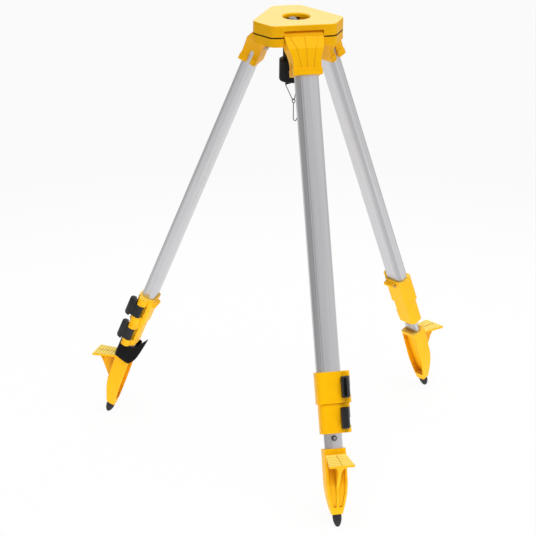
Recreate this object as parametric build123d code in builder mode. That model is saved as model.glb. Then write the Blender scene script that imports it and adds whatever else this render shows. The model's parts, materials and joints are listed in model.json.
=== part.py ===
from build123d import *
import os
from math import cos, radians, sin

# Surveying tripod with three telescopic legs, each of three nested tubes.
# Millimetres. Origin at the centre of the instrument seat, +Z up, front leg towards -Y.

os.makedirs("parts", exist_ok=True)

# Stance
leg_azimuths = {"front_leg": 270, "right_leg": 30, "left_leg": 150}
leg_splay = 22.4
hinge_radius = 51.0
leg_axis_offset = 4.0

# Clearances
running_gap = 0.3
pin_gap = 0.05
seat_gap = 0.1

# Head plate and hinge frame
head_side = 61.6
head_corner = 79.0
corner_round = 14.0
plate_depth = 20.0
pocket_margin = 4.5
seat_thickness = 7.0
edge_round = 1.6
parting_groove = 2.4
frame_depth = 15.0
notch_width = 69.0
notch_roof = 9.8
notch_inner_radius = 37.5
hole_radius = 23.0
hole_bevel = 2.2
pocket_radius = 33.0
frame_bore_radius = 31.5
hinge_pin_radius = 4.0
hinge_pin_hold = 7.5
head_screw_radius = 2.5
head_screw_head_radius = 4.5
head_screw_head = 3.0
head_screw_spread = 16.0
head_screw_distance = 65.0

# Centre screw on its swinging arm
arm_reach = 58.0
arm_rest_swing = -6.2
knob_turn = 32.4
arm_thickness = 4.0
arm_half_width = 9.5
slot_rim = 4.5
arm_pivot_radius = 4.0
arm_pivot_head_radius = 7.0
arm_pivot_head = 2.0
pivot_spare = 1.0
slot_half_travel = 8.0
bush_radius = 10.0
bush_flange_radius = 14.0
bush_flange = 1.5
bush_drop = 1.5
stud_radius = 7.94
stud_top_drop = 2.0
stud_chamfer = 1.2
ring_groove_radius = 6.8
ring_radius = 9.6
ring_thickness = 1.5
ring_gap_width = 8.0
screw_lift = 11.0
neck_radius = 15.8
neck_length = 42.0
knob_radius = 22.0
knob_length = 39.5
knob_round = 4.0
knob_top_chamfer = 1.0
knob_flutes = 20
knob_flute_radius = 1.6
bail_wire_radius = 0.8
bail_half_span = 16.0
bail_length = 31.7
bail_rest_swing = -9.6
bail_foot_drop = 3.0
bail_foot_length = 5.6
bail_bend_radius = 1.2
bail_tip_half_width = 2.0
boss_half_width = 1.6
hook_wire_radius = 0.8
hook_eye_radius = 3.6
hook_length = 27.5
hook_bend_radius = 4.0
hook_bend_sweep = 200.0
wire_side_count = 8

# Leg tubes
upper_width = 41.0
upper_tube_depth = 24.0
tube_wall = 1.6
nest_side_gap = 1.0
nest_face_gap = 0.6
tube_land_inset = 7.5
tube_cove = 7.5
tube_cove_sag = 1.9
tube_corner = 9.0

# Distances down each leg from its hinge pin
tube_start = 22.0
middle_start = 40.0
lower_start = 58.0
upper_clamp_top = 573.5
upper_clamp_height = 54.0
lower_clamp_height = 50.0
foot_stand = 25.7
stop_bolt_drop = 7.8
clamp_gap = 0.4

# Shoulder casting
barrel_radius = 10.6
stop_stand = 5.0
facet_stand = 11.8
facet_drop = 20.0
ridge_drop = 24.0
shoulder_front = 16.0
shoulder_back = 16.0
shoulder_ridge_half = 31.0
shoulder_waist_half = 24.4
shoulder_waist_drop = 54.0
shoulder_length = 69.0
band_height = 11.5
band_proud = 1.2
slit_width = 7.4
slit_offset = -1.7
slit_length = 24.0
fan_groove_width = 1.2
fan_groove_depth = 0.8
fan_spread_top = 25.0
fan_spread_ridge = 16.5
fan_spread_foot = 10.4
tube_bolt_radius = 3.0
tube_bolt_head_radius = 5.6
tube_bolt_head = 4.0
tube_bolt_drop = 35.0
washer_thickness = 1.2
washer_margin = 1.6

# Clamp housings, cams and levers
clamp_wall = 3.5
clamp_corner = 9.0
clamp_grip = 11.5
lever_overhang = 5.5
stem_height = 26.0
ear_radius = 8.5
cam_radius = 6.4
cam_rise = 0.5
pivot_inset = 2.5
upper_pad = 2.5
lower_pad = 1.6
lever_pin_radius = 2.0
lever_pin_inset = 2.5
flap_standoff = 1.5
stem_bury = 1.0
flap_thickness = 10.0
flap_inner = 11.5
flap_outer = 4.0
flap_round = 2.0
flap_panel_inset = 3.2
flap_panel_depth = 0.8
pad_width = 10.0
pad_height = 18.0
lever_slot_margin = 4.2
lug_radius = 4.2
lug_length = 24.0
lug_shift = 6.0
lug_drop = 9.0
lug_screw_radius = 1.6
lug_screw_head_radius = 3.0
lug_screw_head = 2.0

# Foot, pedal and point
foot_half_width = 18.8
foot_front = 12.5
foot_back = 16.0
foot_length = 112.5
foot_taper_start = 52.0
foot_end_half_width = 9.2
foot_end_back = 21.0
foot_end_front = -4.5
foot_waist_front = 9.5
foot_waist_drop = 61.0
foot_shin_front = 5.5
foot_shin_drop = 80.0
foot_socket = 40.0
foot_edge = 4.0
foot_rim_round = 2.0
trough_rim = 2.6
trough_round = 5.0
trough_wall = 1.4
trough_top = 7.0
trough_end = 11.0
panel_depth = 1.8
panel_rim = 5.2
panel_start = 17.0
panel_end = 12.0
rib_half_width = 2.6
pedal_drop = 10.0
pedal_root_half = 17.5
pedal_end_half = 22.0
pedal_length = 44.0
pedal_thickness = 4.0
pedal_bury = 4.0
pedal_grip_start = 4.0
pedal_grip_pitch = 6.0
pedal_grip_rows = 6
pedal_groove_width = 1.4
pedal_groove_depth = 0.8
gusset_reach = 37.5
gusset_drop = 67.0
gusset_flare_half = 16.0
gusset_flare_drop = 20.0
gusset_flare_depth = 3.0
tip_radius = 7.8
tip_length = 21.5
tip_profile = ((1.0, 0.28), (0.94, 0.48), (0.8, 0.68), (0.58, 0.86), (0.34, 0.97), (0.16, 1.0))
tip_shank_radius = 4.0
tip_shank = 9.0
tip_offset = 13.0

# Stop bolt through the lower tube
stop_bolt_radius = 2.5
stop_bolt_head_radius = 4.6
stop_bolt_head = 3.4
stop_bolt_end = 1.2
stop_head_taper = 20.0
stop_nut_height = 3.2
stop_washer_radius = 6.0

# Strap round the left leg
strap_thickness = 2.4
strap_gap = 0.4
strap_back_gap = 1.4
strap_front_drop = 29.0
strap_back_drop = 45.0
strap_top_gap = 2.5
strap_corner = 5.4
strap_tail_rise = 27.4
strap_tail_lean = 14.6
strap_tail_spread = 8.6
strap_tail_fall = 22.6
strap_notch_lean = 5.6
strap_notch_rise = 9.4

# Derived sizes and places
middle_width = upper_width - 2 * (tube_wall + nest_side_gap)
middle_tube_depth = upper_tube_depth - 2 * (tube_wall + nest_face_gap)
lower_width = middle_width - 2 * (tube_wall + nest_side_gap)
lower_tube_depth = middle_tube_depth - 2 * (tube_wall + nest_face_gap)
upper_pivot_reach = middle_width / 2 + upper_pad + 2 * seat_gap + cam_rise + cam_radius
lower_pivot_reach = lower_width / 2 + lower_pad + 2 * seat_gap + cam_rise + cam_radius
pin_depth = plate_depth + parting_groove / 2
frame_top = -(plate_depth + parting_groove)
frame_bottom = frame_top - frame_depth
arm_top = -(plate_depth - arm_thickness)
arm_bottom = -plate_depth
bush_top = arm_top + bush_flange
bush_bottom = arm_bottom - bush_drop
ring_top = bush_top + ring_thickness
neck_top = bush_bottom - screw_lift - running_gap
knob_top = neck_top - neck_length
knob_bottom = knob_top - knob_length
bail_hinge_drop = knob_bottom - bail_foot_drop
lower_clamp_top = upper_clamp_top + upper_clamp_height + clamp_gap
lower_clamp_bottom = lower_clamp_top + lower_clamp_height
stop_bolt_place = lower_clamp_bottom + stop_bolt_drop
foot_top = lower_clamp_bottom + foot_stand
foot_bottom = foot_top + foot_length
splay_cos = cos(radians(leg_splay))
splay_sin = sin(radians(leg_splay))
far = 400.0


def save(piece, name, plane=Plane.XY):
    """Write one finished piece, moved from its working plane to its place on the tripod."""
    placed = piece.moved(plane.location)
    placed.label = name
    export_step(placed, f"parts/{name}.step")


def leg_plane(azimuth):
    """Working plane of a leg: X outward, Y counter-clockwise, Z up the tube axis, level with the pin."""
    radial = Vector(1, 0, 0).rotate(Axis.Z, azimuth)
    up = Vector(0, 0, 1)
    outward = radial * splay_cos + up * splay_sin
    along = up * splay_cos - radial * splay_sin
    pin = radial * hinge_radius - up * pin_depth
    return Plane(origin=pin + outward * leg_axis_offset, x_dir=outward, z_dir=along)


def to_leg(radius, height):
    """A point of the head, by its radius and height, as X and Z of the leg's working plane."""
    across = radius - hinge_radius
    above = height + pin_depth
    x = across * splay_cos + above * splay_sin - leg_axis_offset
    return (x, above * splay_cos - across * splay_sin)


def head_outline():
    """Rounded triangle with cut corners, long sides towards the legs."""
    with BuildSketch(Plane.XY) as outline:
        RegularPolygon(head_side, 3, major_radius=False, rotation=90)
        RegularPolygon(head_corner, 3, major_radius=False, rotation=-90, mode=Mode.INTERSECT)
        fillet(outline.vertices(), corner_round)
    return outline.sketch


def leg_notches(height):
    """The three notches that the shoulders swing in, as a sketch at a height."""
    with BuildSketch(Plane.XY.offset(height)) as notches:
        for azimuth in leg_azimuths.values():
            with PolarLocations(notch_inner_radius + far / 2, 1, start_angle=azimuth):
                Rectangle(far, notch_width)
    return notches.sketch


def hinge_axes():
    """One plane for each hinge, at the middle of its pin and square to it."""
    for azimuth in leg_azimuths.values():
        radial = Vector(1, 0, 0).rotate(Axis.Z, azimuth)
        tangent = Vector(0, 1, 0).rotate(Axis.Z, azimuth)
        yield Plane(radial * hinge_radius - Vector(0, 0, pin_depth), x_dir=radial, z_dir=tangent)


def head_screw_places():
    """Two screws in each cut corner, seen from below."""
    for azimuth in leg_azimuths.values():
        for side in (-1, 1):
            place = Vector(-head_screw_distance, side * head_screw_spread, 0)
            yield place.rotate(Axis.Z, azimuth)


# Head plate: seat, skirt, pocket for the arm, notches and hinge seats
arm_plane = Plane((0, arm_reach, 0), x_dir=Vector(0, -1, 0).rotate(Axis.Z, arm_rest_swing), z_dir=(0, 0, 1))
pin_half_length = notch_width / 2 + hinge_pin_hold
with BuildPart() as head_plate:
    with BuildSketch():
        add(head_outline())
    extrude(amount=-plate_depth)
    fillet(head_plate.faces().sort_by(Axis.Z)[-1].edges(), edge_round)
    with BuildSketch(Plane.XY.offset(-seat_thickness)):
        Circle(pocket_radius)
        with Locations((0, arm_reach / 2)):
            Rectangle(2 * (arm_half_width + pocket_margin), arm_reach)
        with Locations((0, arm_reach)):
            Circle(arm_half_width + pocket_margin)
    extrude(amount=seat_thickness - plate_depth, mode=Mode.SUBTRACT)
    with BuildSketch(Plane.XY.offset(-seat_thickness)):
        with Locations((0, arm_reach)):
            Circle(arm_half_width)
    extrude(amount=arm_top + seat_thickness)
    with Locations((0, 0, 0)):
        Hole(hole_radius)
    chamfer(head_plate.edges().filter_by(GeomType.CIRCLE).group_by(Axis.Z)[-1], hole_bevel)
    extrude(leg_notches(-notch_roof), amount=notch_roof - plate_depth, mode=Mode.SUBTRACT)
    for hinge in hinge_axes():
        with BuildSketch(hinge):
            Circle(hinge_pin_radius + seat_gap)
        extrude(amount=pin_half_length + seat_gap, both=True, mode=Mode.SUBTRACT)
    with Locations(*[(p.X, p.Y, -plate_depth) for p in head_screw_places()]):
        Cylinder(head_screw_radius + seat_gap, 2 * (plate_depth - seat_thickness), mode=Mode.SUBTRACT)
    with Locations((0, arm_reach, arm_top)):
        Cylinder(arm_pivot_radius + seat_gap, 2 * (seat_thickness + pivot_spare), mode=Mode.SUBTRACT)
save(head_plate.part, "head_plate")

# Hinge frame: clamps the pins from below and leaves the knob room to shift
with BuildPart() as hinge_frame:
    with BuildSketch(Plane.XY.offset(frame_top)):
        add(head_outline())
        Circle(frame_bore_radius, mode=Mode.SUBTRACT)
    extrude(amount=-frame_depth)
    extrude(leg_notches(frame_top), amount=-frame_depth, mode=Mode.SUBTRACT)
    with BuildSketch(Plane.XY.offset(frame_top)):
        with Locations(*[(p.X, p.Y) for p in head_screw_places()]):
            Circle(head_screw_head_radius + washer_margin)
    extrude(amount=parting_groove)
    for hinge in hinge_axes():
        with BuildSketch(hinge):
            Circle(hinge_pin_radius + seat_gap)
        extrude(amount=pin_half_length + seat_gap, both=True, mode=Mode.SUBTRACT)
    with BuildSketch(Plane.XY.offset(frame_bottom)):
        with Locations(*[(p.X, p.Y) for p in head_screw_places()]):
            Circle(head_screw_head_radius + running_gap)
    extrude(amount=head_screw_head, mode=Mode.SUBTRACT)
    with BuildSketch(Plane.XY.offset(frame_bottom)):
        with Locations(*[(p.X, p.Y) for p in head_screw_places()]):
            Circle(head_screw_radius + seat_gap)
    extrude(amount=frame_depth + parting_groove, mode=Mode.SUBTRACT)
    with BuildSketch(Plane.XY.offset(frame_top + parting_groove)):
        with Locations((0, arm_reach)):
            Circle(arm_pivot_head_radius + 2 * running_gap)
    extrude(amount=-frame_depth, mode=Mode.SUBTRACT)
save(hinge_frame.part, "hinge_frame")

# Head fasteners: six frame screws and the arm's shouldered pivot
with BuildPart() as head_fasteners:
    with BuildSketch(Plane.XY.offset(frame_bottom)):
        with Locations(*[(p.X, p.Y) for p in head_screw_places()]):
            Circle(head_screw_head_radius)
    extrude(amount=head_screw_head)
    with BuildSketch(Plane.XY.offset(frame_bottom + head_screw_head)):
        with Locations(*[(p.X, p.Y) for p in head_screw_places()]):
            Circle(head_screw_radius)
    extrude(amount=-frame_bottom - head_screw_head - seat_thickness - seat_gap)
    with BuildSketch(Plane.XY.offset(arm_bottom)):
        with Locations((0, arm_reach)):
            Circle(arm_pivot_head_radius)
    extrude(amount=-arm_pivot_head)
    with BuildSketch(Plane.XY.offset(arm_bottom)):
        with Locations((0, arm_reach)):
            Circle(arm_pivot_radius)
    extrude(amount=arm_thickness + seat_thickness)
save(head_fasteners.part, "head_fasteners")

# Hinge pins
with BuildPart() as hinge_pins:
    for hinge in hinge_axes():
        with BuildSketch(hinge):
            Circle(hinge_pin_radius)
        extrude(amount=pin_half_length, both=True)
save(hinge_pins.part, "hinge_pins")

# Screw arm: built along its own X from the pivot
slot_half_length = slot_half_travel + bush_radius + running_gap
with BuildPart() as screw_arm:
    with BuildSketch(Plane.XY.offset(arm_top - running_gap)):
        Circle(arm_half_width)
        with Locations((arm_reach / 2, 0)):
            Rectangle(arm_reach, 2 * arm_half_width)
        with Locations((arm_reach, 0)):
            SlotOverall(2 * (slot_half_length + slot_rim), 2 * (bush_radius + running_gap + slot_rim))
        with Locations((arm_reach, 0)):
            SlotOverall(2 * slot_half_length, 2 * (bush_radius + running_gap), mode=Mode.SUBTRACT)
        Circle(arm_pivot_radius + pin_gap, mode=Mode.SUBTRACT)
    extrude(amount=-(arm_thickness - 2 * running_gap))
save(screw_arm.part, "screw_arm", arm_plane)

# Parts on the screw's axis, built at the origin
screw_plane = Plane(
    arm_plane.from_local_coords((arm_reach, 0, 0)),
    x_dir=Vector(1, 0, 0).rotate(Axis.Z, knob_turn),
    z_dir=(0, 0, 1),
)
with BuildPart() as screw_bush:
    with BuildSketch(Plane.XY.offset(arm_top - running_gap)):
        Circle(bush_flange_radius)
    extrude(amount=bush_flange + running_gap)
    with BuildSketch(Plane.XY.offset(arm_top - running_gap)):
        Circle(bush_radius)
    extrude(amount=bush_bottom - arm_top + running_gap)
    with BuildSketch(Plane.XY.offset(bush_top)):
        Circle(stud_radius + running_gap)
    extrude(amount=bush_bottom - bush_top, mode=Mode.SUBTRACT)
save(screw_bush.part, "screw_bush", screw_plane)

with BuildPart() as lift_ring:
    with BuildSketch(Plane.XY.offset(bush_top)):
        Circle(ring_radius)
        Circle(ring_groove_radius + pin_gap, mode=Mode.SUBTRACT)
        with Locations((ring_radius, 0)):
            Rectangle(ring_radius, ring_gap_width, mode=Mode.SUBTRACT)
    extrude(amount=ring_thickness)
save(lift_ring.part, "lift_ring", screw_plane)

with BuildPart() as centre_screw:
    with BuildSketch(Plane.XZ):
        with BuildLine():
            Polyline(
                (0, -stud_top_drop),
                (stud_radius - stud_chamfer, -stud_top_drop),
                (stud_radius, -stud_top_drop - stud_chamfer),
                (stud_radius, ring_top + pin_gap),
                (ring_groove_radius, ring_top + pin_gap),
                (ring_groove_radius, bush_top - pin_gap),
                (stud_radius, bush_top - pin_gap),
                (stud_radius, knob_top),
                (0, knob_top),
                close=True,
            )
        make_face()
    revolve(axis=Axis.Z)
save(centre_screw.part, "centre_screw", screw_plane)

bail_seat_radius = bail_wire_radius + running_gap
with BuildPart() as screw_knob:
    with BuildSketch(Plane.XZ):
        with BuildLine():
            round_step = knob_round * (1 - cos(radians(45)))
            Polyline(
                (0, neck_top),
                (neck_radius, neck_top),
                (neck_radius, knob_top),
                (knob_radius - knob_top_chamfer, knob_top),
                (knob_radius, knob_top - knob_top_chamfer),
                (knob_radius, knob_bottom + knob_round),
                (knob_radius - round_step, knob_bottom + round_step),
                (knob_radius - knob_round, knob_bottom),
                (0, knob_bottom),
                close=True,
            )
        make_face()
    revolve(axis=Axis.Z)
    with BuildSketch(Plane.XY.offset(knob_top)):
        with PolarLocations(knob_radius + knob_flute_radius / 2, knob_flutes):
            Circle(knob_flute_radius)
    extrude(amount=-knob_length, mode=Mode.SUBTRACT)
    with BuildSketch(Plane.XY.offset(neck_top)):
        Circle(stud_radius + seat_gap)
    extrude(amount=-neck_length, mode=Mode.SUBTRACT)
    with BuildSketch(Plane.XY.offset(knob_bottom)):
        Rectangle(2 * (bail_half_span - bail_bend_radius - bail_wire_radius), 2 * boss_half_width)
    extrude(amount=-bail_foot_drop - boss_half_width)
    with BuildSketch(Plane.YZ):
        with Locations((0, bail_hinge_drop)):
            Circle(bail_seat_radius)
    extrude(amount=bail_half_span, both=True, mode=Mode.SUBTRACT)
save(screw_knob.part, "screw_knob", screw_plane)

# Plumb bail: two feet in the knob's boss, arms that meet in a narrow loop, built about its hinge
bail_foot_in = bail_half_span - bail_foot_length
bail_plane = Plane(
    screw_plane.from_local_coords((0, 0, bail_hinge_drop)),
    x_dir=screw_plane.x_dir,
    z_dir=screw_plane.z_dir.rotate(Axis((0, 0, 0), screw_plane.x_dir), bail_rest_swing),
)
with BuildPart() as plumb_bail:
    with BuildLine(Plane.XZ) as bail_path:
        FilletPolyline(
            (-bail_foot_in, 0),
            (-bail_half_span, 0),
            (-bail_tip_half_width, -bail_length),
            (bail_tip_half_width, -bail_length),
            (bail_half_span, 0),
            (bail_foot_in, 0),
            radius=bail_bend_radius,
        )
    with BuildSketch(Plane((-bail_foot_in, 0, 0), z_dir=(-1, 0, 0))):
        RegularPolygon(bail_wire_radius, wire_side_count)
    sweep()
save(plumb_bail.part, "plumb_bail", bail_plane)

# Plumb hook: an eye over the bail, a shank and an open hook, built about the bail's lowest wire
hook_plane = Plane(
    bail_plane.from_local_coords((0, 0, -bail_length)), x_dir=screw_plane.x_dir, z_dir=screw_plane.z_dir
)
eye_centre = bail_wire_radius + running_gap + hook_wire_radius - hook_eye_radius
shank_top = eye_centre - hook_eye_radius
shank_end = shank_top - hook_length
with BuildPart() as plumb_hook:
    with BuildLine(Plane.YZ) as hook_path:
        Line((0, shank_top), (0, shank_end))
        CenterArc((-hook_bend_radius, shank_end), hook_bend_radius, 0, -hook_bend_sweep)
    with BuildSketch(Plane.XY.offset(shank_top)):
        RegularPolygon(hook_wire_radius, wire_side_count)
    sweep()
    with BuildSketch(Plane.XZ):
        with Locations((0, eye_centre + hook_eye_radius)):
            RegularPolygon(hook_wire_radius, wire_side_count)
    revolve(axis=Axis((0, 0, eye_centre), (1, 0, 0)))
save(plumb_hook.part, "plumb_hook", hook_plane)


def tube_section(width, depth, grow=0.0):
    """Section of a leg tube: flat outer land, a cove along one of its sides, the other corners round."""
    half = width / 2 + grow
    out = depth / 2 + grow
    land = width / 2 - tube_land_inset + grow
    step = depth / 2 - tube_cove
    with BuildSketch(Plane.XY) as section:
        with BuildLine():
            Polyline((out, -land), (out, half), (-out, half), (-out, -half), (step, -half))
            SagittaArc((step, -half), (out, -land), tube_cove_sag)
        make_face()
        round_here = section.vertices().filter_by(lambda point: point.Y > 0 or point.X < step - tube_wall)
        fillet(round_here, tube_corner - (upper_tube_depth - depth) / 2 + grow)
    return section.sketch


def cross_hole(radius, drop):
    """Section of a bolt's hole that runs across the leg, along X."""
    with BuildSketch(Plane.YZ) as hole:
        with Locations((0, -drop)):
            Circle(radius)
    return hole.sketch


def make_tube(width, depth, start, end):
    """A hollow tube between two distances down the leg."""
    with BuildPart() as tube:
        with BuildSketch(Plane.XY.offset(-start)):
            add(tube_section(width, depth))
            add(tube_section(width, depth, -tube_wall), mode=Mode.SUBTRACT)
        extrude(amount=start - end)
    return tube


# Leg tubes: the outer ones have holes for the shoulder's bolt and the stop bolt
with BuildPart() as upper_tube:
    add(make_tube(upper_width, upper_tube_depth, tube_start, upper_clamp_top + clamp_grip).part)
    extrude(cross_hole(tube_bolt_radius + seat_gap, tube_bolt_drop), amount=-far, mode=Mode.SUBTRACT)
middle_tube = make_tube(middle_width, middle_tube_depth, middle_start, lower_clamp_top + clamp_grip)
with BuildPart() as lower_tube:
    add(make_tube(lower_width, lower_tube_depth, lower_start, foot_top + foot_socket).part)
    stop_hole = cross_hole(stop_bolt_radius + seat_gap, stop_bolt_place)
    extrude(stop_hole, amount=far, both=True, mode=Mode.SUBTRACT)

# Shoulder casting: hinge barrel, two facets with fan grooves, slit sleeve for the tube
pin_x = -leg_axis_offset
facet_top = to_leg(hinge_radius + facet_stand, -facet_drop)
with BuildPart() as shoulder:
    with BuildSketch(Plane.XZ):
        with BuildLine():
            Polyline(
                to_leg(hinge_radius, -notch_roof - running_gap),
                to_leg(hinge_radius + stop_stand, -notch_roof - running_gap),
                to_leg(hinge_radius + stop_stand, -facet_drop),
                facet_top,
                (shoulder_front, -ridge_drop),
                (shoulder_front, -shoulder_length),
                (-shoulder_back, -shoulder_length),
                (-shoulder_back, -barrel_radius),
                (pin_x, 0),
                close=True,
            )
        make_face()
        with Locations((pin_x, 0)):
            Circle(barrel_radius)
    extrude(amount=notch_width / 2 - running_gap, both=True)
    with BuildSketch(Plane.YZ):
        with BuildLine():
            top_half = notch_width / 2 - running_gap
            Polyline((0, 2 * barrel_radius), (top_half, 2 * barrel_radius), (top_half, facet_top[1]))
            Line((top_half, facet_top[1]), (shoulder_ridge_half, -ridge_drop))
            waist = (shoulder_waist_half, -shoulder_waist_drop)
            TangentArc(waist, (shoulder_ridge_half, -ridge_drop), tangent=(0, 1))
            Polyline(
                waist,
                (shoulder_waist_half, -shoulder_length),
                (0, -shoulder_length),
                (0, 2 * barrel_radius),
            )
        make_face()
        mirror(about=Plane.YZ)
    extrude(amount=far, both=True, mode=Mode.INTERSECT)
    with BuildSketch(Plane.XY.offset(-shoulder_length)):
        with Locations(((shoulder_front + band_proud - shoulder_back) / 2, 0)):
            Rectangle(shoulder_front + band_proud + shoulder_back, 2 * (shoulder_waist_half + band_proud))
    extrude(amount=band_height)
    with BuildSketch(Plane.XY.offset(-tube_start)):
        add(tube_section(upper_width, upper_tube_depth, seat_gap))
    extrude(amount=tube_start - shoulder_length, mode=Mode.SUBTRACT)
    with BuildSketch(Plane.XZ):
        with Locations((slit_offset, -shoulder_length)):
            SlotOverall(2 * slit_length, slit_width, rotation=90)
    extrude(amount=far, both=True, mode=Mode.SUBTRACT)
    with BuildSketch(Plane.XZ):
        with Locations((pin_x, 0)):
            Circle(hinge_pin_radius + pin_gap)
    extrude(amount=far, both=True, mode=Mode.SUBTRACT)
    extrude(cross_hole(tube_bolt_radius + seat_gap, tube_bolt_drop), amount=-far, mode=Mode.SUBTRACT)
    facet = Vector(shoulder_front, 0, -ridge_drop) - Vector(facet_top[0], 0, facet_top[1])
    upper_facet = Plane((shoulder_front, 0, -ridge_drop), x_dir=(0, 1, 0), z_dir=(facet.Z * -1, 0, facet.X))
    lower_facet = Plane((shoulder_front, 0, -ridge_drop), x_dir=(0, 1, 0), z_dir=(1, 0, 0))
    fan_bottom = ridge_drop - shoulder_length + band_height
    for side in (-1, 0, 1):
        for plane, end_spread, end in (
            (upper_facet, fan_spread_top, facet.length),
            (lower_facet, fan_spread_foot, fan_bottom),
        ):
            with BuildSketch(plane):
                with BuildLine():
                    ridge_y = side * fan_spread_ridge
                    end_y = side * end_spread
                    half = fan_groove_width / 2
                    Polyline(
                        (ridge_y - half, 0),
                        (ridge_y + half, 0),
                        (end_y + half, end),
                        (end_y - half, end),
                        close=True,
                    )
                make_face()
            extrude(amount=-fan_groove_depth, mode=Mode.SUBTRACT)

# Shoulder bolt and the screw of the upper clamp's lug
lug_stand = lug_screw_head_radius + seat_gap
lug_place = Plane(
    (-(upper_tube_depth / 2 + clamp_wall + lug_stand), 0, -(upper_clamp_top + lug_drop)),
    x_dir=(1, 0, 0),
    z_dir=(0, -1, 0),
)
lug_end = lug_length / 2 - lug_shift
with BuildPart() as leg_fasteners:
    with BuildSketch(Plane.YZ.offset(-shoulder_back)):
        with Locations((0, -tube_bolt_drop)):
            Circle(tube_bolt_head_radius + washer_margin)
    extrude(amount=-washer_thickness)
    with BuildSketch(Plane.YZ.offset(-shoulder_back - washer_thickness)):
        with Locations((0, -tube_bolt_drop)):
            RegularPolygon(tube_bolt_head_radius, 6)
    extrude(amount=-tube_bolt_head)
    with BuildSketch(Plane.YZ.offset(-shoulder_back)):
        with Locations((0, -tube_bolt_drop)):
            Circle(tube_bolt_radius)
    extrude(amount=shoulder_back - upper_tube_depth / 2 + tube_wall)
    with BuildSketch(lug_place.offset(lug_end)):
        Circle(lug_screw_head_radius)
    extrude(amount=lug_screw_head)
    with BuildSketch(lug_place.offset(lug_end)):
        Circle(lug_screw_radius)
    extrude(amount=-lug_length / 2)


def make_clamp(fixed_width, fixed_depth, slide_width, slide_depth, pivot_reach, top, height, lug=False):
    """Clamp housing: sleeve on the fixed tube, guide for the sliding one, two ears for the lever's pin."""
    side = fixed_width / 2 + clamp_wall
    stem_top = top + (height - stem_height) / 2
    window_y = pivot_reach - cam_radius - cam_rise - running_gap
    with BuildPart() as clamp:
        with BuildSketch(Plane.XY.offset(-top)):
            RectangleRounded(fixed_depth + 2 * clamp_wall, 2 * side, clamp_corner)
        extrude(amount=-height)
        with BuildSketch(Plane.XY.offset(-top)):
            with Locations((pivot_inset, pivot_reach)):
                Circle(ear_radius)
            with Locations((pivot_inset, pivot_reach / 2)):
                Rectangle(2 * ear_radius, pivot_reach)
        extrude(amount=-height)
        with BuildSketch(Plane.XY.offset(-top)):
            add(tube_section(fixed_width, fixed_depth, seat_gap))
        extrude(amount=-clamp_grip - seat_gap, mode=Mode.SUBTRACT)
        with BuildSketch(Plane.XY.offset(-top)):
            add(tube_section(slide_width, slide_depth, running_gap))
        extrude(amount=-height, mode=Mode.SUBTRACT)
        slot_back = pivot_inset - cam_radius - lever_slot_margin
        with BuildSketch(Plane.XY.offset(-stem_top)):
            with Locations(((slot_back + far) / 2, (window_y + far) / 2)):
                Rectangle(far - slot_back, far - window_y)
        extrude(amount=-stem_height, mode=Mode.SUBTRACT)
        with BuildSketch(Plane.XY.offset(-(top + height / 2) + pad_height / 2 + seat_gap)):
            with Locations((pivot_inset, window_y / 2)):
                Rectangle(pad_width + 2 * seat_gap, window_y)
        extrude(amount=-pad_height - 2 * seat_gap, mode=Mode.SUBTRACT)
        with BuildSketch(Plane.XY.offset(-top - lever_pin_inset)):
            with Locations((pivot_inset, pivot_reach)):
                Circle(lever_pin_radius + seat_gap)
        extrude(amount=-height + lever_pin_inset, mode=Mode.SUBTRACT)
        if lug:
            with BuildSketch(lug_place.offset(-lug_length / 2 - lug_shift)):
                Circle(lug_radius)
                with Locations(((lug_stand + clamp_wall / 2) / 2, 0)):
                    Rectangle(lug_stand + clamp_wall / 2, 2 * lug_radius)
            extrude(amount=lug_length)
            with BuildSketch(lug_place.offset(lug_end)):
                Circle(lug_screw_radius + seat_gap)
            extrude(amount=-lug_length / 2 - seat_gap, mode=Mode.SUBTRACT)
    return clamp


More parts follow.
